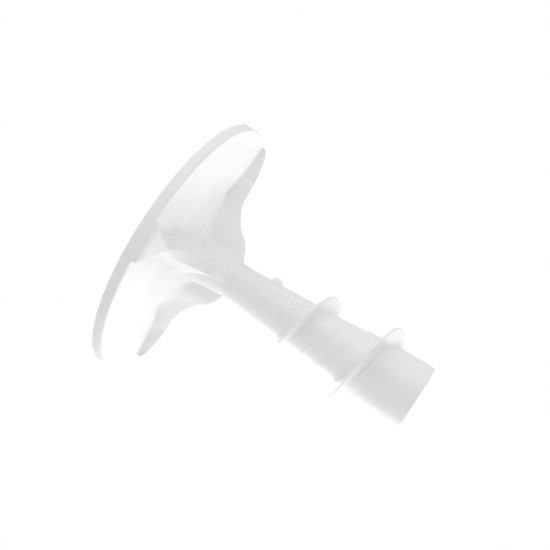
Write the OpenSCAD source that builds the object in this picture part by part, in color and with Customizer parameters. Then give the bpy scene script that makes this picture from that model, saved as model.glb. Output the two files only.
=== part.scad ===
// Disc-head wall anchor: a moulded pressure plate with three gussets on a flared sleeve
// that carries a left-hand flight, drawn together by a screw and a cone nut.
// The plate's outer face is z = 0 and the sleeve points up.

/* [Pressure plate] */
// Diameter of the pressure plate
plate_d = 60; // [58:1:64]
// Thickness of the pressure plate
plate_t = 2.4; // [2:0.1:2.8]
// Diameter of the cup that takes the screw head
cup_d = 10; // [9.8:0.1:10.4]
// Depth of the cup below the outer face
cup_depth = 4; // [3.8:0.1:4.4]

/* [Gussets] */
// Height of a gusset above the plate where its land starts at the rim
land_low = 1.6; // [1.2:0.1:1.8]
// Height of a gusset above the plate where its land ends
land_high = 3.3; // [3:0.1:3.6]
// Width of the upright ridge on a gusset
ridge_w = 2.5; // [1.8:0.1:3]

/* [Sleeve] */
// Length from the plate's outer face to the open tip
anchor_len = 61.4; // [60:0.2:64]
// Outside diameter where the sleeve leaves the hub
neck_d = 8.3; // [8:0.1:8.6]
// Outside diameter of the sleeve at its tip
tip_d = 14.1; // [13.8:0.1:14.6]

/* [Flight] */
// Rise of the flight in one turn
flight_pitch = 15.5; // [14:0.1:17]
// Largest diameter over the flight
flight_d = 20.8; // [18:0.2:22]
// Thickness of the flight at its root
flight_root_t = 1.1; // [0.9:0.1:1.3]
// Thickness of the flight at its edge
flight_edge_t = 0.45; // [0.35:0.05:0.6]
// Rise of the two low ridges in one turn
ridge_pitch = 14.3; // [13.5:0.1:15]

/* [Screw and nut] */
// Diameter of the screw
screw_d = 5; // [4.8:0.1:5.2]
// Clearance between the screw and each bore, on the radius
running_gap = 0.05; // [0.03:0.01:0.1]
// Diameter of the screw's pan head
head_d = 8; // [7.6:0.1:8.2]
// Height of the screw's pan head
head_h = 2.6; // [2.4:0.1:2.7]
// Length of the cone nut
nut_len = 11; // [10:0.5:11.5]
// Large diameter of the cone nut, at the tip
nut_big_d = 10.6; // [10.2:0.1:10.8]
// Small diameter of the cone nut
nut_small_d = 7.2; // [7:0.1:7.4]
// How far the nut is drawn into the sleeve
nut_travel = 3; // [2:0.5:3]

/* [Hidden] */
$fn = 96;
eps = 0.01;

plate_r = plate_d / 2;
plate_edge_r = 0.35;
bore_r = screw_d / 2 + running_gap;
neck_r = neck_d / 2;
tip_r = tip_d / 2;

// Hub: the plate sweeps up into the shaft with a long curve and then a tight one.
hub_h = 12.6;
hub_foot_r = 20;
hub_sweep_r = 26.6;
hub_fillet_r = 3.46;
hub_sweep_deg = 31;
hub_top_r = neck_r + 0.1;
hub_end_z = plate_t + hub_h;

// Gusset crest, seen from the side, from the rim inwards.
shoulder_run = 2;
land_end_r = 18;
land_deg = atan((land_high - land_low) / (plate_r - shoulder_run - land_end_r));
hollow_r = 13;
hollow_deg = 50;
bulge_r = 14.6;
bulge_deg = 25;
crest_end_h = 12.4;
gusset_first_az = -90;

// Scoops between the gussets: a round plan that opens out as it rises, [height, radius].
scoop_centre_r = 39.6;
scoop_line = [[0, 31.2], [2.65, 34.2], [16, 34.2]];
scoop_top_h = 16;

// Blank that a gusset is cut from, in plan: [distance from the axis, half width].
gusset_blank = [[2, 1.6], [6, 2.6], [12, 5], [36, 12]];

// Ridge on each gusset, in plan: half widths as shares of the full half width.
ridge_nose_r = 22.2;
ridge_swell_r = 19.5;
ridge_full_r = 16.5;
ridge_taper_r = 11;
ridge_back_r = 3;
ridge_swell_share = 0.5;
ridge_back_share = 0.5;

// Sleeve outside: radius at each height, from the hub to the tip.
flare_low_z = 42;
flare_low_r = neck_r + 1.45;
flare_high_z = 49;
flare_high_r = tip_r - 0.4;
sleeve_full_z = 57;
tip_edge = 0.4;
sleeve_line = [
    [hub_end_z, neck_r], [18, neck_r], [flare_low_z, flare_low_r],
    [flare_high_z, flare_high_r], [sleeve_full_z, tip_r],
    [anchor_len - tip_edge, tip_r], [anchor_len, tip_r - tip_edge / 2]
];
function sleeve_r(z) = lookup(z, sleeve_line);

// Cone nut and the seat that it is drawn into.
nut_top_z = anchor_len - 0.4;
nut_low_z = nut_top_z - nut_len;
nut_slope = (nut_big_d - nut_small_d) / 2 / nut_len;
seat_gap = nut_travel * nut_slope + 0.04;
seat_low_z = nut_low_z - nut_travel - 0.3;
seat_low_r = nut_small_d / 2 + seat_gap - (nut_low_z - seat_low_z) * nut_slope;
seat_tip_r = nut_big_d / 2 + seat_gap + (anchor_len - nut_top_z) * nut_slope;
seat_lead = 1.2;

// Screw and washer.
washer_d = 9.4;
washer_t = 0.8;
washer_low_z = cup_depth - washer_t;
head_gap = 0.05;
head_low_z = washer_low_z - head_gap - head_h;
head_top_z = washer_low_z - head_gap;
screw_end_z = anchor_len - 1.4;
screw_point = 0.8;
crown_flat_share = 0.62;
crown_h = 1.3;
recess_af = 4;
recess_depth = 1.7;

// Flight: phase is in degrees, counted from the side that faces azimuth face_az.
face_az = -95.8;
flight_face_z = 33.2;
flight_start = -262;
flight_start_lift = 2;
flight_end = 510;
flight_step = 8;
flight_lean = 0.16;
flight_tip = 0.1;
flight_root_depth = 0.4;
flight_start_h = 1.2;
flight_full_least = 0.5;
flight_end_least = 0.12;
ramp_start = 18;
ramp_end = 40;
grow_start = -160;
grow_turn = 430;

// Low ridges.
ridge_face_z = [24.5, 28.85];
ridge_start = -70;
ridge_end = [790, 690];
ridge_step = 12;
ridge_half_w = 0.3;
ridge_h = 0.2;
ridge_depth = 0.25;
ridge_fade = 60;
ridge_end_least = 0.2;

plastic = [0.94, 0.94, 0.93];
steel = [0.72, 0.73, 0.75];
zinc = [0.62, 0.64, 0.68];

// A curve in the side view that runs inwards from p while its slope turns from a0 to a1.
function bend(p, r, a0, a1, n = 8) = [for (i = [0:n])
    let (a = a0 + (a1 - a0) * i / n)
    [p[0] - r * (sin(a) - sin(a0)), p[1] + r * (cos(a0) - cos(a))]];
function last(v) = v[len(v) - 1];
function smooth(t) = let (u = min(max(t, 0), 1)) u * u * (3 - 2 * u);
function at(radius, azimuth, z) = [radius * cos(azimuth), radius * sin(azimuth), z];

// Faces of a rod whose rings of m points are stacked one after another.
function rod_faces(rings, m) = concat(
    [[for (j = [m - 1:-1:0]) j]],
    [for (i = [0:rings - 2]) for (j = [0:m - 1])
        each [[i * m + j, i * m + (j + 1) % m, (i + 1) * m + j],
              [i * m + (j + 1) % m, (i + 1) * m + (j + 1) % m, (i + 1) * m + j]]],
    [[for (j = [0:m - 1]) (rings - 1) * m + j]]);

module hub_outline() {
    sweep = bend([hub_foot_r, 0], hub_sweep_r, 0, hub_sweep_deg);
    fillet = bend(last(sweep), hub_fillet_r, hub_sweep_deg, 90);
    polygon(concat([[0, 0]], sweep, fillet, [[hub_top_r, hub_h], [0, hub_h]]));
}

module hub_solid() {
    translate([0, 0, plate_t]) rotate_extrude() hub_outline();
}

module face_plate() {
    e = plate_edge_r;
    color(plastic) difference() {
        rotate_extrude() polygon([[0, 0], [plate_r - e, 0], [plate_r, e],
            [plate_r, plate_t - e / 2], [plate_r - e / 2, plate_t], [0, plate_t]]);
        translate([0, 0, -1]) cylinder(h = plate_t + 2, d = cup_d);
    }
}

module hub_core() {
    color(plastic) difference() {
        hub_solid();
        translate([0, 0, plate_t - 1]) cylinder(h = cup_depth - plate_t + 1, d = cup_d);
        cylinder(h = hub_end_z + 1, r = bore_r);
    }
}

module crest_outline() {
    shoulder = [for (a = [0:18:90])
        [plate_r - shoulder_run * (1 - cos(a)), land_low * sin(a)]];
    hollow = bend([land_end_r, land_high], hollow_r, land_deg, hollow_deg);
    bulge = bend(last(hollow), -bulge_r, hollow_deg, bulge_deg);
    polygon(concat([[2, 0]], shoulder, hollow, bulge, [[neck_r, crest_end_h], [2, crest_end_h]]));
}

module scoops() {
    wall = [for (s = scoop_line) [s[1], s[0]]];
    for (side = [-60, 60]) rotate(side) translate([scoop_centre_r, 0, 0])
        rotate_extrude() polygon(concat([[0, -eps], [wall[0][0], -eps]], wall, [[0, scoop_top_h]]));
}

module ridge_plan() {
    w = ridge_w / 2;
    side = [[ridge_swell_r, w * ridge_swell_share], [ridge_full_r, w],
        [ridge_taper_r, w], [ridge_back_r, w * ridge_back_share]];
    polygon(concat([[ridge_nose_r, 0]], side,
        [for (i = [len(side) - 1:-1:0]) [side[i][0], -side[i][1]]]));
}

module gusset_plan() {
    polygon(concat(gusset_blank, [for (i = [len(gusset_blank) - 1:-1:0])
        [gusset_blank[i][0], -gusset_blank[i][1]]]));
}

module gusset(k) {
    color(plastic) difference() {
        translate([0, 0, plate_t]) rotate(gusset_first_az + 120 * (k - 1)) intersection() {
            rotate_extrude() crest_outline();
            union() {
                difference() {
                    linear_extrude(scoop_top_h) gusset_plan();
                    scoops();
                }
                linear_extrude(scoop_top_h) ridge_plan();
            }
        }
        hub_solid();
        cylinder(h = hub_end_z + 5, r = hub_top_r);
    }
}

module sleeve_tube() {
    outside = [for (p = sleeve_line) [p[1], p[0]]];
    inside = [[seat_tip_r, anchor_len], [seat_low_r, seat_low_z],
        [bore_r, seat_low_z - seat_lead], [bore_r, hub_end_z]];
    color(plastic) rotate_extrude() polygon(concat(outside, inside));
}

// Radius of the flight's edge at a phase, with its rounded start and end.
function flight_edge_r(phase, root) = let (
    grown = smooth((phase - grow_start) / grow_turn),
    full = neck_r + flight_start_h + (flight_d / 2 - neck_r - flight_start_h) * grown,
    rise = sqrt(min(1, (phase - flight_start) / ramp_start)),
    fall = sqrt(min(1, (flight_end - phase) / ramp_end)))
    root + max(flight_end_least, (max(full, root + flight_full_least) - root) * min(rise, fall));

function flight_ring(phase) = let (
    az = face_az - phase,
    zc = flight_face_z + flight_pitch * phase / 360
        + flight_start_lift * smooth(phase / flight_start),
    root = sleeve_r(zc),
    edge = flight_edge_r(phase, root),
    tip = -flight_tip * sin(phase),
    edge_z = zc + tip * edge - flight_lean * (edge - root),
    root_z = zc + tip * root,
    ri = root - flight_root_depth)
    [at(ri, az, root_z - flight_root_t / 2), at(edge, az, edge_z - flight_edge_t / 2),
     at(edge, az, edge_z + flight_edge_t / 2), at(ri, az, root_z + flight_root_t / 2)];

module main_flight() {
    phases = [for (p = [flight_start:flight_step:flight_end]) p];
    color(plastic) polyhedron([for (p = phases) each flight_ring(p)],
        rod_faces(len(phases), 4), convexity = 10);
}

function ridge_ring(phase, k) = let (
    az = face_az - phase,
    z = ridge_face_z[k] + ridge_pitch * phase / 360,
    fade = min(1, (phase - ridge_start) / ridge_fade, (ridge_end[k] - phase) / ridge_fade),
    top = sleeve_r(z) + ridge_h * max(fade, ridge_end_least),
    foot = sleeve_r(z) - ridge_depth)
    [at(foot, az, z - ridge_half_w), at(top, az, z), at(foot, az, z + ridge_half_w)];

module grip_ridges() {
    color(plastic) for (k = [0:1]) {
        phases = [for (p = [ridge_start:ridge_step:ridge_end[k]]) p];
        polyhedron([for (p = phases) each ridge_ring(p, k)],
            rod_faces(len(phases), 3), convexity = 10);
    }
}

module head_washer() {
    color(zinc) translate([0, 0, washer_low_z]) difference() {
        cylinder(h = washer_t, d = washer_d);
        translate([0, 0, -1]) cylinder(h = washer_t + 2, r = bore_r);
    }
}

module clamp_screw() {
    r = head_d / 2;
    flat_r = r * crown_flat_share;
    crown = [for (a = [0:15:75])
        [flat_r + (r - flat_r) * sin(a), head_low_z + crown_h * (1 - cos(a))]];
    color(steel) difference() {
        rotate_extrude() polygon(concat([[0, head_low_z]], crown,
            [[r, head_low_z + crown_h], [r, head_top_z], [screw_d / 2, head_top_z],
             [screw_d / 2, screw_end_z - screw_point],
             [screw_d / 2 - screw_point, screw_end_z], [0, screw_end_z]]));
        translate([0, 0, head_low_z - 1])
            cylinder(h = recess_depth + 1, d = recess_af / cos(30), $fn = 6);
    }
}

module cone_nut() {
    color(zinc) translate([0, 0, nut_low_z]) difference() {
        cylinder(h = nut_len, d1 = nut_small_d, d2 = nut_big_d);
        translate([0, 0, -1]) cylinder(h = nut_len + 2, r = bore_r);
    }
}

face_plate();
hub_core();
gusset(1);  // gusset_1
gusset(2);  // gusset_2
gusset(3);  // gusset_3
sleeve_tube();
main_flight();
grip_ridges();
head_washer();
clamp_screw();
cone_nut();
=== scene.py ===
import math
import random

import bpy
import bmesh
from mathutils import Matrix, Vector


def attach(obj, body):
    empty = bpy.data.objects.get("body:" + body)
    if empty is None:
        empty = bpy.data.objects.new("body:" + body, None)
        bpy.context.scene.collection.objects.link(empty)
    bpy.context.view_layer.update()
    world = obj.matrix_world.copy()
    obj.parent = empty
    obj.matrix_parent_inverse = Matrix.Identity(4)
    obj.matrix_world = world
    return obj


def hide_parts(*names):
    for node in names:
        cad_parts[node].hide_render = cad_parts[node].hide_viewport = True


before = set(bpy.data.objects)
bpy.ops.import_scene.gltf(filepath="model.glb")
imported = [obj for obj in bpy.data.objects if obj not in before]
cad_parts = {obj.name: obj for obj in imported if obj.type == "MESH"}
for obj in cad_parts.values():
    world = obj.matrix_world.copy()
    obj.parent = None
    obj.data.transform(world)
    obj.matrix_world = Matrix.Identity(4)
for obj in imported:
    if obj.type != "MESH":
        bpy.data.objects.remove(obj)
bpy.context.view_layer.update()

mm = 0.001
turn = 2 * math.pi
sharpAngle = math.radians(38)


def mix(a, b, t):
    return a + (b - a) * t


def clamp(t, low=0.0, high=1.0):
    return min(max(t, low), high)


def smooth(t):
    t = clamp(t)
    return t * t * (3 - 2 * t)


# Straight interpolation through (x, y) points with rising x.
def onLine(x, points):
    if x <= points[0][0]:
        return points[0][1]
    for (x0, y0), (x1, y1) in zip(points, points[1:]):
        if x <= x1:
            return mix(y0, y1, (x - x0) / (x1 - x0))
    return points[-1][1]


# As onLine, but as a soft curve through the points.
def onCurve(x, points):
    n = len(points)
    if x <= points[0][0]:
        return points[0][1]
    if x >= points[-1][0]:
        return points[-1][1]
    slopes = []
    for i in range(n):
        low, high = max(i - 1, 0), min(i + 1, n - 1)
        slopes.append((points[high][1] - points[low][1]) / (points[high][0] - points[low][0]))
    for i in range(n - 1):
        x0, y0 = points[i]
        x1, y1 = points[i + 1]
        if x <= x1:
            h = x1 - x0
            t = (x - x0) / h
            return ((2 * t ** 3 - 3 * t ** 2 + 1) * y0 + (t ** 3 - 2 * t ** 2 + t) * h * slopes[i]
                    + (3 * t ** 2 - 2 * t ** 3) * y1 + (t ** 3 - t ** 2) * h * slopes[i + 1])
    return points[-1][1]


def polar(radius, angle, z):
    return (radius * math.cos(angle) * mm, radius * math.sin(angle) * mm, z * mm)


def gridFaces(rows, columns, closeRows=False, closeColumns=True):
    faces = []
    for i in range(rows if closeRows else rows - 1):
        for j in range(columns if closeColumns else columns - 1):
            a = i * columns + j
            b = i * columns + (j + 1) % columns
            c = ((i + 1) % rows) * columns + (j + 1) % columns
            d = ((i + 1) % rows) * columns + j
            faces.append((a, b, c, d))
    return faces


def makePiece(name, points, faces, material, body, replaced=()):
    mesh = bpy.data.meshes.new(name)
    mesh.from_pydata(points, [], faces)
    work = bmesh.new()
    work.from_mesh(mesh)
    bmesh.ops.remove_doubles(work, verts=work.verts, dist=1e-7)
    bmesh.ops.recalc_face_normals(work, faces=work.faces)
    for face in work.faces:
        face.smooth = True
    for edge in work.edges:
        edge.smooth = len(edge.link_faces) == 2 and edge.calc_face_angle() < sharpAngle
    work.to_mesh(mesh)
    work.free()
    piece = bpy.data.objects.new(name, mesh)
    bpy.context.scene.collection.objects.link(piece)
    mesh.materials.append(material)
    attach(piece, body)
    if replaced:
        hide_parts(*replaced)
    return piece


# A closed outline of (radius, z) points turned round the axis; a radius of 0 is the axis itself.
def lathe(outline, steps):
    points, faces, rings = [], [], []
    for radius, z in outline:
        if radius < 1e-6:
            rings.append([len(points)] * steps)
            points.append((0, 0, z * mm))
        else:
            rings.append(list(range(len(points), len(points) + steps)))
            points += [polar(radius, turn * j / steps, z) for j in range(steps)]
    for i in range(len(rings)):
        a, b = rings[i], rings[(i + 1) % len(rings)]
        for j in range(steps):
            k = (j + 1) % steps
            face = []
            for index in (a[j], a[k], b[k], b[j]):
                if index not in face:
                    face.append(index)
            if len(face) > 2:
                faces.append(tuple(face))
    return points, faces


def newGroup(name, inputs, outputs):
    group = bpy.data.node_groups.new(name, "ShaderNodeTree")
    for label, kind, value in inputs:
        socket = group.interface.new_socket(label, in_out="INPUT", socket_type=kind)
        socket.default_value = value
    for label, kind in outputs:
        group.interface.new_socket(label, in_out="OUTPUT", socket_type=kind)
    entry = group.nodes.new("NodeGroupInput")
    result = group.nodes.new("NodeGroupOutput")
    return group, entry.outputs, result.inputs


def noiseNode(group, vector, scale, detail, roughness=0.5):
    node = group.nodes.new("ShaderNodeTexNoise")
    node.inputs["Scale"].default_value = scale
    node.inputs["Detail"].default_value = detail
    node.inputs["Roughness"].default_value = roughness
    group.links.new(vector, node.inputs["Vector"])
    return node.outputs["Fac"]


# Straight remap; the last two may be numbers or sockets.
def mapNode(group, value, fromLow, fromHigh, toLow, toHigh):
    node = group.nodes.new("ShaderNodeMapRange")
    group.links.new(value, node.inputs["Value"])
    ends = (("From Min", fromLow), ("From Max", fromHigh), ("To Min", toLow), ("To Max", toHigh))
    for label, end in ends:
        if isinstance(end, (int, float)):
            node.inputs[label].default_value = end
        else:
            group.links.new(end, node.inputs[label])
    return node.outputs["Result"]


def mathNode(group, operation, a, b):
    node = group.nodes.new("ShaderNodeMath")
    node.operation = operation
    for socket, value in zip(node.inputs, (a, b)):
        if isinstance(value, (int, float)):
            socket.default_value = value
        else:
            group.links.new(value, socket)
    return node.outputs["Value"]


def tintNode(group, amount, colour, other):
    node = group.nodes.new("ShaderNodeMix")
    node.data_type = "RGBA"
    for index, value in ((0, amount), (6, colour), (7, other)):
        if isinstance(value, (int, float, tuple)):
            node.inputs[index].default_value = value
        else:
            group.links.new(value, node.inputs[index])
    return node.outputs[2]


def stretchNode(group, vector, scale):
    node = group.nodes.new("ShaderNodeMapping")
    node.inputs["Scale"].default_value = scale
    group.links.new(vector, node.inputs["Vector"])
    return node.outputs["Vector"]


# Skin of an injection moulding: faint flow streaks, fine orange peel and a few dull patches.
def mouldedPlasticGroup():
    group, given, made = newGroup(
        "mouldedPlastic",
        [("Colour", "NodeSocketColor", (0.8, 0.8, 0.8, 1)),
         ("Streak Colour", "NodeSocketColor", (0.7, 0.7, 0.7, 1)),
         ("Streak Amount", "NodeSocketFloat", 0.3), ("Roughness", "NodeSocketFloat", 0.4),
         ("Peel", "NodeSocketFloat", 0.3)],
        [("Colour", "NodeSocketColor"), ("Roughness", "NodeSocketFloat"), ("Normal", "NodeSocketVector")])
    place = group.nodes.new("ShaderNodeTexCoord").outputs["Object"]
    flow = noiseNode(group, stretchNode(group, place, (260, 260, 60)), 1.0, 4, 0.6)
    patches = noiseNode(group, place, 90, 3)
    peel = noiseNode(group, place, 1500, 2)
    scuffs = noiseNode(group, stretchNode(group, place, (900, 300, 2600)), 1.0, 3, 0.7)
    streak = mathNode(group, "MULTIPLY", mapNode(group, flow, 0.42, 0.72, 0.0, 1.0), given["Streak Amount"])
    group.links.new(tintNode(group, streak, given["Colour"], given["Streak Colour"]), made["Colour"])
    dull = mapNode(group, patches, 0.35, 0.65, -0.05, 0.06)
    fine = mapNode(group, scuffs, 0.55, 0.75, 0.0, 0.05)
    rough = mathNode(group, "ADD", mathNode(group, "ADD", given["Roughness"], dull), fine)
    group.links.new(rough, made["Roughness"])
    finePart = mathNode(group, "MULTIPLY", peel, 0.6)
    widePart = mathNode(group, "MULTIPLY", flow, 0.9)
    height = mathNode(group, "ADD", finePart, widePart)
    bump = group.nodes.new("ShaderNodeBump")
    bump.inputs["Distance"].default_value = 0.00006
    group.links.new(given["Peel"], bump.inputs["Strength"])
    group.links.new(height, bump.inputs["Height"])
    group.links.new(bump.outputs["Normal"], made["Normal"])
    return group


# Zinc plate: cloudy spangle that shifts the tone towards the dark colour, and turning marks round the axis in
# the bump.
def platedSteelGroup():
    group, given, made = newGroup(
        "platedSteel",
        [("Colour", "NodeSocketColor", (0.6, 0.6, 0.6, 1)),
         ("Dark Colour", "NodeSocketColor", (0.4, 0.4, 0.4, 1)),
         ("Roughness", "NodeSocketFloat", 0.3), ("Marks", "NodeSocketFloat", 0.3),
         ("Cloud Amount", "NodeSocketFloat", 0.4)],
        [("Colour", "NodeSocketColor"), ("Roughness", "NodeSocketFloat"), ("Normal", "NodeSocketVector")])
    place = group.nodes.new("ShaderNodeTexCoord").outputs["Object"]
    clouds = noiseNode(group, place, 420, 4, 0.6)
    marks = noiseNode(group, stretchNode(group, place, (150, 150, 9000)), 1.0, 2)
    grain = noiseNode(group, place, 3800, 2)
    cloudy = mathNode(group, "MULTIPLY", mapNode(group, clouds, 0.4, 0.7, 0.0, 1.0), given["Cloud Amount"])
    group.links.new(tintNode(group, cloudy, given["Colour"], given["Dark Colour"]), made["Colour"])
    spread = mapNode(group, clouds, 0.3, 0.7, -0.06, 0.1)
    group.links.new(mathNode(group, "ADD", given["Roughness"], spread), made["Roughness"])
    widePart = mathNode(group, "MULTIPLY", marks, 0.8)
    finePart = mathNode(group, "MULTIPLY", grain, 0.2)
    height = mathNode(group, "ADD", widePart, finePart)
    bump = group.nodes.new("ShaderNodeBump")
    bump.inputs["Distance"].default_value = 0.00002
    group.links.new(given["Marks"], bump.inputs["Strength"])
    group.links.new(height, bump.inputs["Height"])
    group.links.new(bump.outputs["Normal"], made["Normal"])
    return group


def groupedMaterial(name, group, values, surface):
    material = bpy.data.materials.new(name)
    material.use_nodes = True
    tree = material.node_tree
    skin = tree.nodes.new("ShaderNodeGroup")
    skin.node_tree = group
    for label, value in values.items():
        skin.inputs[label].default_value = value
    shader = tree.nodes["Principled BSDF"]
    for label in ("Colour", "Roughness", "Normal"):
        tree.links.new(skin.outputs[label], shader.inputs["Base Color" if label == "Colour" else label])
    for label, value in surface.items():
        shader.inputs[label].default_value = value
    return material


plasticGroup = mouldedPlasticGroup()
steelGroup = platedSteelGroup()

plastic = groupedMaterial("whitePlastic", plasticGroup, {
    "Colour": (0.865, 0.865, 0.862, 1),
    "Streak Colour": (0.82, 0.82, 0.818, 1),
    "Streak Amount": 0.35,
    "Roughness": 0.42,
    "Peel": 0.22,
}, {"Specular IOR Level": 0.4, "Subsurface Weight": 0.12, "Subsurface Radius": (0.0012, 0.0011, 0.001)})

thinPlastic = groupedMaterial("whitePlasticThin", plasticGroup, {
    "Colour": (0.88, 0.88, 0.878, 1),
    "Streak Colour": (0.83, 0.83, 0.828, 1),
    "Streak Amount": 0.3,
    "Roughness": 0.38,
    "Peel": 0.2,
}, {"Specular IOR Level": 0.4, "Subsurface Weight": 0.75, "Subsurface Radius": (0.003, 0.0029, 0.0028)})

screwSteel = groupedMaterial("screwSteel", steelGroup, {
    "Colour": (0.62, 0.63, 0.65, 1),
    "Dark Colour": (0.42, 0.43, 0.46, 1),
    "Roughness": 0.27,
    "Marks": 0.3,
    "Cloud Amount": 0.4,
}, {"Metallic": 1.0})

washerSteel = groupedMaterial("washerSteel", steelGroup, {
    "Colour": (0.66, 0.67, 0.69, 1),
    "Dark Colour": (0.5, 0.5, 0.52, 1),
    "Roughness": 0.32,
    "Marks": 0.5,
    "Cloud Amount": 0.5,
}, {"Metallic": 1.0})

nutSteel = groupedMaterial("nutSteel", steelGroup, {
    "Colour": (0.58, 0.59, 0.61, 1),
    "Dark Colour": (0.36, 0.37, 0.4, 1),
    "Roughness": 0.36,
    "Marks": 0.4,
    "Cloud Amount": 0.6,
}, {"Metallic": 1.0})
print("materials ready")


head = {
    "plateThickness": 2.4,
    "rimRadius": 30.0,
    "rimRound": 0.35,
    "rimMiddle": 1.2,
    "rimBump": 0.45,
    "neckRadius": 4.62,
    "neckHeight": 6.77,
    "topRadius": 4.17,
    "topHeight": 12.6,
    "crestAtNeck": 12.15,
    "neckSteps": 12,
    "cupRadius": 5.0,
    "cupDepth": 4.0,
    "boreRadius": 2.55,
    "seatRadius": 3.6,
    "ringGroove": (6.6, 6.75, 7.3, 7.45),
    "grooveDepth": 0.12,
    "faceRows": (9, 12, 15, 18, 21, 24, 26.5, 28.6),
    # [distance from the axis, height above the plate] of the hub between gussets, and of a gusset's crest
    "floor": [(4.62, 6.77), (4.75, 5.95), (5.1, 5.1), (5.6, 4.4), (6.3, 3.85), (7.5, 3.24), (8.75, 2.7),
              (10.5, 1.96), (12.4, 1.17), (14.0, 0.55), (15.2, 0.2), (16.6, 0.0), (30.0, 0.0)],
    "crest": [(4.6, 12.1), (5.2, 11.75), (6.3, 11.2), (7.65, 10.45), (9.0, 9.3), (10.2, 7.76), (11.6, 6.45),
              (13.4, 5.3), (15.2, 4.35), (17.0, 3.72), (18.6, 3.35), (20.3, 3.1), (21.2, 2.86), (24.4, 2.45),
              (26.4, 2.05), (27.6, 1.75), (28.4, 1.55), (29.1, 1.3), (29.65, 0.95)],
    # [distance from the axis, half width] of the crest's flat land, and of the gusset's foot
    "land": [(4.2, 0.6), (5.4, 0.65), (7.5, 0.9), (10.6, 1.15), (14.0, 1.25), (17.3, 1.1), (19.7, 0.55),
             (21.2, 0.3), (22.3, 0.22), (23.4, 0.7), (24.6, 1.25), (26.4, 1.95), (28.0, 2.7), (29.1, 3.6),
             (29.65, 4.3)],
    "foot": [(4.2, 1.8), (4.8, 2.6), (6.0, 4.0), (8.0, 5.2), (10.0, 5.2), (12.0, 4.5), (14.0, 3.7),
             (16.0, 3.0), (18.0, 2.6), (20.0, 2.5), (24.6, 3.1), (28.0, 4.1), (29.65, 4.7)],
    # how hollow the flank is at each distance; 1 is flat
    "hollow": [(4.6, 1.6), (8.0, 1.9), (11.0, 2.0), (14.0, 1.7), (17.0, 1.3), (20.5, 1.1), (24.0, 1.0),
               (30.0, 1.0)],
    "leastFlank": 0.15,
    # keeps a foot inside its third of the circle
    "widestSine": 0.86,
    # places across a sector where the columns stand, as shares of land, flank and floor
    "landStops": [0, 0.3, 0.6, 0.84, 0.95],
    "flankStops": [0, 0.04, 0.12, 0.22, 0.34, 0.48, 0.62, 0.76, 0.88, 0.96, 1],
    "floorStops": [0.035, 0.1, 0.22, 0.38, 0.56, 0.78],
    # distances from the axis of the rows, closer where the crest bends
    "rows": [29.65, 29.4, 29.1, 28.75, 28.4, 28.0, 27.4, 26.7, 26.0, 25.2, 24.4, 23.6, 22.9, 22.3,
             21.8, 21.3, 20.8, 20.3, 19.6, 18.9, 18.2, 17.5, 16.8, 16.0, 15.2, 14.4, 13.6, 12.8,
             12.0, 11.2, 10.5, 9.8, 9.2, 8.6, 8.0, 7.5, 7.0, 6.55, 6.15, 5.8, 5.5, 5.2, 4.95, 4.75],
    "firstGusset": -90.0,
    # the rows of the outer face are evenly spaced out to this radius, then follow the rim's columns
    "evenRadius": 8.0,
    "evenBlend": 20.0,
}


# (angle from the gusset's middle, share of the crest's height) across half a sector, at one radius.
def headColumns(r):
    land = onCurve(r, head["land"])
    foot = max(onCurve(r, head["foot"]), land + head["leastFlank"])
    power = onLine(r, head["hollow"])
    columns = [(math.asin(land * s / r), 1.0) for s in head["landStops"]]
    for t in head["flankStops"]:
        y = mix(land, foot, t)
        columns.append((math.asin(min(y / r, head["widestSine"])), (1 - t) ** power))
    last = columns[-1][0]
    for s in head["floorStops"]:
        columns.append((mix(last, math.pi / 3, s), 0.0))
    return columns


# Half a sector's columns, mirrored and repeated for the three gussets.
def roundTheAxis(half):
    full = []
    for k in range(3):
        middle = math.radians(head["firstGusset"] + 120 * k)
        full += [(middle + a, share) for a, share in half]
        full.append((middle + math.pi / 3, 0.0))
        full += [(middle + turn / 3 - a, share) for a, share in reversed(half[1:])]
    return full


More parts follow.
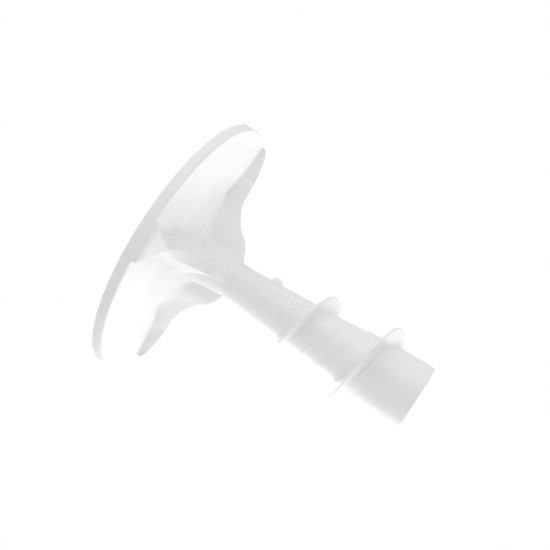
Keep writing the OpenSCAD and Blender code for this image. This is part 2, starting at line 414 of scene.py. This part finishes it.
def headRows():
    top = head["plateThickness"]
    edge = head["rimRound"]
    outer = head["rimRadius"] - edge
    edgeColumns = roundTheAxis(headColumns(outer))
    rows = []

    # from the rim's side up over its rounded edge
    for degrees in (90, 65, 40, 20):
        a = math.radians(degrees)
        r = outer + edge * math.sin(a)
        crest = mix(onCurve(outer, head["crest"]), head["rimBump"], 1 - math.cos(a))
        base = top - edge * (1 - math.cos(a))
        rows.append([(r, angle, base + crest * share) for angle, share in edgeColumns])

    # inwards over the floor and the gussets
    for r in head["rows"]:
        floor = onCurve(r, head["floor"])
        crest = onCurve(r, head["crest"])
        columns = roundTheAxis(headColumns(r))
        rows.append([(r, angle, top + mix(floor, crest, share)) for angle, share in columns])

    # up the neck to the top of the hub
    neck = roundTheAxis(headColumns(head["neckRadius"]))
    for i in range(head["neckSteps"] + 1):
        t = i / head["neckSteps"]
        r = mix(head["neckRadius"], head["topRadius"], smooth(t))
        floor = mix(head["neckHeight"], head["topHeight"], t)
        crest = mix(head["crestAtNeck"], head["topHeight"], t)
        rows.append([(r, angle, top + mix(floor, crest, share)) for angle, share in neck])

    # down the bore, through the cup and out over the outer face
    count = len(rows[0])
    even = [math.radians(head["firstGusset"]) + turn * j / count for j in range(count)]
    bore, cup, deep = head["boreRadius"], head["cupRadius"], head["cupDepth"]
    rim = [angle for angle, share in edgeColumns]
    inside = [(bore, top + head["topHeight"]), (bore, 9.0), (bore, deep + 0.25), (bore + 0.25, deep),
              (head["seatRadius"], deep), (cup - 0.25, deep), (cup, deep - 0.25), (cup, 2.0), (cup, 0.35),
              (cup + 0.1, 0.1), (cup + 0.3, 0)]
    inside += list(zip(head["ringGroove"], (0, head["grooveDepth"], head["grooveDepth"], 0)))
    inside += [(r, 0) for r in head["faceRows"]]
    for r, z in inside:
        turned = smooth((r - head["evenRadius"]) / head["evenBlend"])
        rows.append([(r, mix(even[j], rim[j], turned), z) for j in range(count)])
    # round the lower edge back to the rim's side
    for degrees in (0, 25, 50, 75, 90):
        a = math.radians(degrees)
        rows.append([(outer + edge * math.sin(a), rim[j], edge * (1 - math.cos(a))) for j in range(count)])
    rows.append([(head["rimRadius"], rim[j], head["rimMiddle"]) for j in range(count)])
    return rows


def makeHead():
    rows = headRows()
    points = [polar(*place) for row in rows for place in row]
    faces = gridFaces(len(rows), len(rows[0]), closeRows=True)
    return makePiece("anchorHead", points, faces, plastic, "anchor",
                     ("face_plate", "hub_core", "gusset_1", "gusset_2", "gusset_3"))


anchorHead = makeHead()
print("head ready")


# each pair is (height, radius)
sleeve = {
    "outside": [(15.0, 4.17), (18.0, 4.17), (20.7, 4.33), (25.9, 4.66), (31.1, 5.0), (36.0, 5.3),
                (40.1, 5.52), (43.0, 5.78), (45.1, 6.1), (47.2, 6.44), (49.5, 6.68), (52.6, 6.88),
                (57.0, 7.04), (61.0, 7.05)],
    "tipEdge": [(61.0, 7.05), (61.22, 7.0), (61.36, 6.88), (61.4, 6.72)],
    "mouth": [(61.4, 6.1), (61.36, 5.98), (61.2, 5.86)],
    "seatHigh": (60.9, 5.8),
    "seatLow": (46.7, 3.594),
    "seatSteps": 12,
    "lead": (45.5, 2.55),
    "bore": 2.55,
    "boreMiddle": 30.0,
    "start": 15.0,
    "outsideEnd": 60.95,
    "outsideStep": 0.8,
    "steps": 144,
}


def sleeveRadius(z):
    return onCurve(z, sleeve["outside"])


def makeSleeve():
    outline = []
    z = sleeve["start"]
    while z < sleeve["outsideEnd"]:
        outline.append((sleeveRadius(z), z))
        z += sleeve["outsideStep"]
    outline += [(r, z) for z, r in sleeve["tipEdge"]]
    outline += [(r, z) for z, r in sleeve["mouth"]]
    highZ, highR = sleeve["seatHigh"]
    lowZ, lowR = sleeve["seatLow"]
    for i in range(sleeve["seatSteps"] + 1):
        t = i / sleeve["seatSteps"]
        outline.append((mix(highR, lowR, t), mix(highZ, lowZ, t)))
    leadZ, leadR = sleeve["lead"]
    outline.append((leadR, leadZ))
    outline.append((sleeve["bore"], sleeve["boreMiddle"]))
    outline.append((sleeve["bore"], sleeve["start"]))
    points, faces = lathe(outline, sleeve["steps"])
    return makePiece("anchorSleeve", points, faces, plastic, "anchor", ("sleeve_tube",))


anchorSleeve = makeSleeve()
print("sleeve ready")


# phases are in degrees from the place on the near side where the blade's middle is at faceHeight
flight = {
    "faceAzimuth": -95.8,
    "faceHeight": 33.2,
    "pitch": 15.5,
    "first": -286.0,
    "startLift": 2.0,  # how much higher the start lies than the pitch gives
    "last": 510.0,
    "step": 3.0,
    "fullRadius": 10.4,
    "startRadius": 5.85,
    "growStart": -160.0,  # the blade widens from here
    "growTurn": 430.0,
    "startRamp": 34.0,
    "endRamp": 40.0,
    "lean": 0.16,  # towards the plate, for each unit of height
    "tip": 0.1,  # the whole blade tips this much to one side
    "rootHalf": 0.5,
    "edgeHalf": 0.21,
    "filletHalf": 0.42,
    "filletReach": 0.38,
    "leastHeight": 0.5,
    "endHeight": 0.05,
    "thinHeight": 0.8,
    "thinShare": 0.25,  # of the thickness, where the blade is low
    "stops": [0.0, 0.05, 0.11, 0.2, 0.34, 0.5, 0.66, 0.8, 0.9, 0.955, 0.985],
    "depth": 0.35,  # how far the root is sunk into the sleeve
}


def flightRadius(phase, root):
    grown = smooth((phase - flight["growStart"]) / flight["growTurn"])
    full = max(mix(flight["startRadius"], flight["fullRadius"], grown), root + flight["leastHeight"])
    rise = math.sqrt(clamp((phase - flight["first"]) / flight["startRamp"]))
    fall = math.sqrt(clamp((flight["last"] - phase) / flight["endRamp"]))
    return root + max(flight["endHeight"], (full - root) * min(rise, fall))


# Half thickness at a share of the blade's height, with a fillet at the root and a rounded edge.
def flightHalf(share, height):
    half = mix(flight["rootHalf"], flight["edgeHalf"], share)
    half += flight["filletHalf"] * math.exp(-share * height / flight["filletReach"])
    toEdge = (1 - share) * height
    if toEdge < flight["edgeHalf"]:
        half *= math.sqrt(max(0.0, 1 - (1 - toEdge / flight["edgeHalf"]) ** 2))
    return half


def flightRing(phase):
    azimuth = math.radians(flight["faceAzimuth"] - phase)
    middle = flight["faceHeight"] + flight["pitch"] * phase / 360
    middle += flight["startLift"] * smooth(phase / flight["first"])
    root = sleeveRadius(middle)
    edge = flightRadius(phase, root)
    height = edge - root
    thickness = mix(flight["thinShare"], 1, clamp(height / flight["thinHeight"]))
    sway = -flight["tip"] * math.sin(math.radians(phase))

    def point(share, side):
        r = root + height * share
        z = middle + sway * r - flight["lean"] * height * share
        return (r, azimuth, z + side * flightHalf(share, height) * thickness)

    ring = [(root - flight["depth"], azimuth, middle + sway * root - flight["rootHalf"])]
    ring += [point(s, -1) for s in flight["stops"]]
    ring.append(point(1.0, 0))
    ring += [point(s, 1) for s in reversed(flight["stops"])]
    ring.append((root - flight["depth"], azimuth, middle + sway * root + flight["rootHalf"]))
    return ring


# Points and faces of a solid swept through rings of the same number of points, with closed ends.
def sweep(rings):
    points = [polar(*place) for ring in rings for place in ring]
    faces = gridFaces(len(rings), len(rings[0]))
    width = len(rings[0])
    faces.append(tuple(range(width)))
    faces.append(tuple(range(len(points) - width, len(points))))
    return points, faces


def makeFlight():
    count = int((flight["last"] - flight["first"]) / flight["step"])
    rings = [flightRing(flight["first"] + flight["step"] * i) for i in range(count + 1)]
    points, faces = sweep(rings)
    return makePiece("mainFlight", points, faces, thinPlastic, "anchor", ("main_flight",))


mainFlight = makeFlight()
print("flight ready")


ridges = {
    "faceHeights": [24.5, 28.85],
    "pitch": 14.3,
    "first": -75.0,
    "last": [790.0, 690.0],
    "step": 3.0,
    "halfWidth": 0.26,
    "height": 0.14,
    "depth": 0.2,
    "fade": 50.0,
    "endShare": 0.1,
    "faint": 0.35,
    # a ridge is highest round this phase of each turn and faint elsewhere
    "boldPhase": -20.0,
    "boldReach": 85.0,
    "boldMargin": 1.2,
    "waves": [(0.34, 97.0), (0.09, 33.0)],  # size and length in degrees
    "seed": 11,
    # half of a ridge's section: (share of the half width, share of the height)
    "section": [(1, 0.15), (0.45, 0.8)],
    "footShare": 1.3,
}


def makeRidges():
    points, faces = [], []
    rng = random.Random(ridges["seed"])
    for start, last in zip(ridges["faceHeights"], ridges["last"]):
        shifts = [rng.uniform(0, turn) for wave in ridges["waves"]]
        rings = []
        phase = ridges["first"]
        while phase <= last:
            azimuth = math.radians(flight["faceAzimuth"] - phase)
            z = start + ridges["pitch"] * phase / 360
            for (size, length), shift in zip(ridges["waves"], shifts):
                z += size * math.sin(turn * phase / length + shift)
            top = sleeveRadius(z)
            fade = clamp(min(phase - ridges["first"], last - phase) / ridges["fade"])
            away = abs((phase - ridges["boldPhase"] + 180) % 360 - 180)
            bold = smooth(ridges["boldMargin"] - away / ridges["boldReach"])
            up = ridges["height"] * mix(ridges["endShare"], mix(ridges["faint"], 1, bold), fade)
            half = ridges["halfWidth"]
            foot = half * ridges["footShare"]
            ring = [(top - ridges["depth"], azimuth, z - foot)]
            ring += [(top + up * b, azimuth, z - half * a) for a, b in ridges["section"]]
            ring.append((top + up, azimuth, z))
            ring += [(top + up * b, azimuth, z + half * a) for a, b in reversed(ridges["section"])]
            ring.append((top - ridges["depth"], azimuth, z + foot))
            rings.append(ring)
            phase += ridges["step"]
        more, sides = sweep(rings)
        faces += [tuple(index + len(points) for index in face) for face in sides]
        points += more
    return makePiece("gripRidges", points, faces, plastic, "anchor", ("grip_ridges",))


gripRidges = makeRidges()
print("ridges ready")


washer = {"low": 3.2, "high": 4.0, "outer": 4.7, "inner": 2.56, "bevel": 0.14, "dish": 0.06, "steps": 96}


def makeWasher():
    low, high, bevel = washer["low"], washer["high"], washer["bevel"]
    outer, inner = washer["outer"], washer["inner"]
    outline = [(inner, low + bevel), (inner + bevel, low + washer["dish"]), (3.4, low + 0.02),
               (4.1, low), (outer - bevel, low + 0.01), (outer, low + bevel), (outer, high - bevel),
               (outer - bevel, high), (3.6, high), (inner + bevel, high), (inner, high - bevel)]
    points, faces = lathe(outline, washer["steps"])
    return makePiece("headWasher", points, faces, washerSteel, "anchor", ("head_washer",))


screw = {
    "headLow": 0.55,
    "headHigh": 3.15,
    "headRadius": 4.0,
    "recessFlat": 2.0,
    "recessDeep": 2.25,
    "shank": 2.5,
    "threadRoot": 2.09,
    "pitch": 0.8,
    "threadFirst": 26.0,
    "threadLast": 59.2,
    "rowsPerTurn": 8,
    "runOut": 0.5,
    "flankSlope": 2.4,
    "rootFlat": 0.15,
    "end": 60.0,
    "columns": 48,
}


def hexRadius(angle, flat):
    return flat / math.cos((angle + math.pi / 6) % (math.pi / 3) - math.pi / 6)


def makeScrew():
    count = screw["columns"]
    angles = [turn * j / count for j in range(count)]
    low, high, r = screw["headLow"], screw["headHigh"], screw["headRadius"]
    rows = []

    # the recess from its bottom to its mouth: (share of the flat, height)
    deep = screw["recessDeep"]
    recess = [(0.45, deep + 0.16), (0.9, deep), (0.985, deep - 0.06), (1.0, 1.6), (1.0, low + 0.22),
              (1.035, low + 0.06), (1.07, low)]
    rows += [[(hexRadius(a, screw["recessFlat"] * grow), a, z) for a in angles] for grow, z in recess]
    crown = [(2.7, low), (2.95, low + 0.02), (3.3, low + 0.12), (3.6, low + 0.32), (3.83, low + 0.62),
             (3.96, low + 1.0), (r, low + 1.35), (r, high - 0.22), (r - 0.06, high - 0.06), (r - 0.2, high),
             (3.2, high), (screw["shank"] + 0.12, high), (screw["shank"], high + 0.14), (screw["shank"], 8.0),
             (screw["shank"], 16.0), (screw["shank"], screw["threadFirst"] - 0.4)]
    rows += [[(radius, a, z) for a in angles] for radius, z in crown]

    z = screw["threadFirst"]
    while z <= screw["threadLast"]:
        ends = clamp(min(z - screw["threadFirst"], screw["threadLast"] - z) / screw["runOut"])
        row = []
        for a in angles:
            phase = (z / screw["pitch"] - a / turn) % 1
            cut = clamp(abs(phase - 0.5) * screw["flankSlope"] - screw["rootFlat"])
            row.append((mix(screw["shank"], mix(screw["shank"], screw["threadRoot"], cut), ends), a, z))
        rows.append(row)
        z += screw["pitch"] / screw["rowsPerTurn"]
    point = [(screw["threadRoot"] + 0.1, screw["threadLast"] + 0.3), (1.7, screw["end"]), (0.8, screw["end"])]
    rows += [[(radius, a, height) for a in angles] for radius, height in point]

    points = [polar(*place) for row in rows for place in row]
    faces = gridFaces(len(rows), count)
    faces.append(tuple(range(count)))
    faces.append(tuple(range(len(points) - count, len(points))))
    return makePiece("clampScrew", points, faces, screwSteel, "screw", ("clamp_screw",))


nut = {
    "low": 50.0,
    "high": 61.0,
    "small": 3.6,
    "big": 5.3,
    "bore": 2.56,
    "boreMiddle": 55.0,
    "bevel": 0.35,
    "ribs": 24,
    "ribHeight": 0.16,
    "ribShape": [0, 0.6, 1, 1, 0.6, 0],
    # (share of the nut's length, share of the ribs' height) from the big end to the small end
    "rows": [(1.0, 0.0), (0.965, 0.5), (0.93, 1), (0.7, 1), (0.45, 1), (0.2, 1), (0.06, 0.6), (0.02, 0.0)],
}


def makeNut():
    rib = nut["ribShape"]
    count = nut["ribs"] * len(rib)
    low, high, bore, bevel = nut["low"], nut["high"], nut["bore"], nut["bevel"]
    rows = [[(bore, high - 0.4)] * count, [(bore + 0.4, high)] * count]
    for t, ribShare in nut["rows"]:
        z = mix(low, high, t)
        base = mix(nut["small"], nut["big"], t) - nut["ribHeight"]
        base -= 0 if ribShare else bevel
        raised = nut["ribHeight"] * ribShare
        rows.append([(base + raised * rib[j % len(rib)], z) for j in range(count)])
    rows.append([(nut["small"] - 0.6, low)] * count)
    rows.append([(bore + 0.3, low)] * count)
    rows.append([(bore, low + 0.3)] * count)
    rows.append([(bore, nut["boreMiddle"])] * count)
    points = [polar(row[j][0], turn * j / count, row[j][1]) for row in rows for j in range(count)]
    faces = gridFaces(len(rows), count, closeRows=True)
    return makePiece("coneNut", points, faces, nutSteel, "nut", ("cone_nut",))


headWasher = makeWasher()
clampScrew = makeScrew()
coneNut = makeNut()
print("washer, screw and nut ready")


stage = {
    "floorHalf": 0.6,
    "floorHeight": -0.0006,
    "floorRoughness": 0.8,
    "floorTones": (0.86, 0.9),
    "grainScale": 40,
}


# The floor is there for the camera only: it shows plain white and casts or bounces nothing.
def makeFloor():
    mesh = bpy.data.meshes.new("floor")
    half, z = stage["floorHalf"], stage["floorHeight"]
    corners = [(-half, -half, z), (half, -half, z), (half, half, z), (-half, half, z)]
    mesh.from_pydata(corners, [], [(0, 1, 2, 3)])
    floor = bpy.data.objects.new("floor", mesh)
    bpy.context.scene.collection.objects.link(floor)
    material = bpy.data.materials.new("paleFloor")
    material.use_nodes = True
    tree = material.node_tree
    shader = tree.nodes["Principled BSDF"]
    shader.inputs["Roughness"].default_value = stage["floorRoughness"]
    grain = tree.nodes.new("ShaderNodeTexNoise")
    grain.inputs["Scale"].default_value = stage["grainScale"]
    tone = tree.nodes.new("ShaderNodeMapRange")
    tone.inputs["To Min"].default_value = stage["floorTones"][0]
    tone.inputs["To Max"].default_value = stage["floorTones"][1]
    tree.links.new(grain.outputs["Fac"], tone.inputs["Value"])
    tree.links.new(tone.outputs["Result"], shader.inputs["Base Color"])
    glow = tree.nodes.new("ShaderNodeEmission")
    seen = tree.nodes.new("ShaderNodeLightPath")
    facing = tree.nodes.new("ShaderNodeNewGeometry")
    clear = tree.nodes.new("ShaderNodeBsdfTransparent")
    bright = tree.nodes.new("ShaderNodeMixShader")
    sided = tree.nodes.new("ShaderNodeMixShader")
    tree.links.new(seen.outputs["Is Camera Ray"], bright.inputs[0])
    tree.links.new(shader.outputs["BSDF"], bright.inputs[1])
    tree.links.new(glow.outputs["Emission"], bright.inputs[2])
    tree.links.new(facing.outputs["Backfacing"], sided.inputs[0])
    tree.links.new(bright.outputs["Shader"], sided.inputs[1])
    tree.links.new(clear.outputs["BSDF"], sided.inputs[2])
    tree.links.new(sided.outputs["Shader"], tree.nodes["Material Output"].inputs["Surface"])
    mesh.materials.append(material)
    floor.visible_shadow = False
    floor.visible_diffuse = False
    floor.visible_glossy = False


# White to the camera, softer as a light.
def makeWorld(settings):
    world = bpy.data.worlds.new("studio")
    bpy.context.scene.world = world
    world.use_nodes = True
    tree = world.node_tree
    tree.nodes.clear()
    out = tree.nodes.new("ShaderNodeOutputWorld")
    seen = tree.nodes.new("ShaderNodeLightPath")
    plain = tree.nodes.new("ShaderNodeBackground")
    soft = tree.nodes.new("ShaderNodeBackground")
    pick = tree.nodes.new("ShaderNodeMixShader")
    plain.inputs["Color"].default_value = (1, 1, 1, 1)
    soft.inputs["Color"].default_value = settings["colour"]
    soft.inputs["Strength"].default_value = settings["strength"]
    tree.links.new(seen.outputs["Is Camera Ray"], pick.inputs[0])
    tree.links.new(soft.outputs["Background"], pick.inputs[1])
    tree.links.new(plain.outputs["Background"], pick.inputs[2])
    tree.links.new(pick.outputs["Shader"], out.inputs["Surface"])


def makeLight(name, swing, lift, watts):
    azimuth, rise = math.radians(lamps["firstAzimuth"] + swing), math.radians(lift)
    away = Vector((math.cos(rise) * math.cos(azimuth), math.cos(rise) * math.sin(azimuth), math.sin(rise)))
    data = bpy.data.lights.new(name, "AREA")
    data.shape = "DISK"
    data.size = lamps["size"]
    data.energy = watts
    light = bpy.data.objects.new(name, data)
    light.location = Vector(lamps["towards"]) + lamps["distance"] * away
    light.rotation_mode = "QUATERNION"
    light.rotation_quaternion = (-away).to_track_quat("-Z", "Y")
    light.visible_camera = False
    bpy.context.scene.collection.objects.link(light)


def makeCamera(settings):
    data = bpy.data.cameras.new("camera")
    data.lens = settings["lens"]
    data.sensor_width = 36
    data.clip_start = 0.01
    data.clip_end = 10
    camera = bpy.data.objects.new("camera", data)
    back = (Vector(settings["place"]) - Vector(settings["towards"])).normalized()
    side = Vector(settings["up"]).cross(back).normalized()
    up = back.cross(side)
    turned = Matrix((side, up, back)).transposed().to_4x4()
    camera.matrix_world = Matrix.Translation(settings["place"]) @ turned
    bpy.context.scene.collection.objects.link(camera)
    bpy.context.scene.camera = camera


world = {"colour": (1, 1, 1, 1), "strength": 0.65}
# Soft lamps in a ring round the part, one side of it square to the camera.
lamps = {
    "size": 0.4,
    "distance": 0.6,
    "towards": (0, 0, 0.03),
    "firstAzimuth": -5.8,
    "each": {  # degrees round the ring, degrees above it, watts
        "backTipLight": (90, 45, 1.15),
        "backLight": (90, 0, 0.6),
        "lowBackTipLight": (45, 45, 0.7),
        "lowBackLight": (45, 0, 0.5),
        "lowLight": (0, 0, 0.55),
        "lowTipLight": (0, 45, 0.2),
        "highTipLight": (180, 45, 0.25),
        "highNearLight": (225, 0, 0.55),
        "highPlateLight": (210, -45, 0.55),
        "plateSideLight": (90, -37, 0.75),
    },
}
camera = {
    "place": (-0.0214, -0.21061, 0.05976),
    "towards": (-0.00567, 0.00058, 0.022),
    "up": (-0.84951, -0.03098, -0.5268),
    "lens": 65.45,
}

makeFloor()
makeWorld(world)
for name, (swing, lift, watts) in lamps["each"].items():
    makeLight(name, swing, lift, watts)
makeCamera(camera)
bpy.context.scene.view_settings.view_transform = "Standard"
print("stage ready")
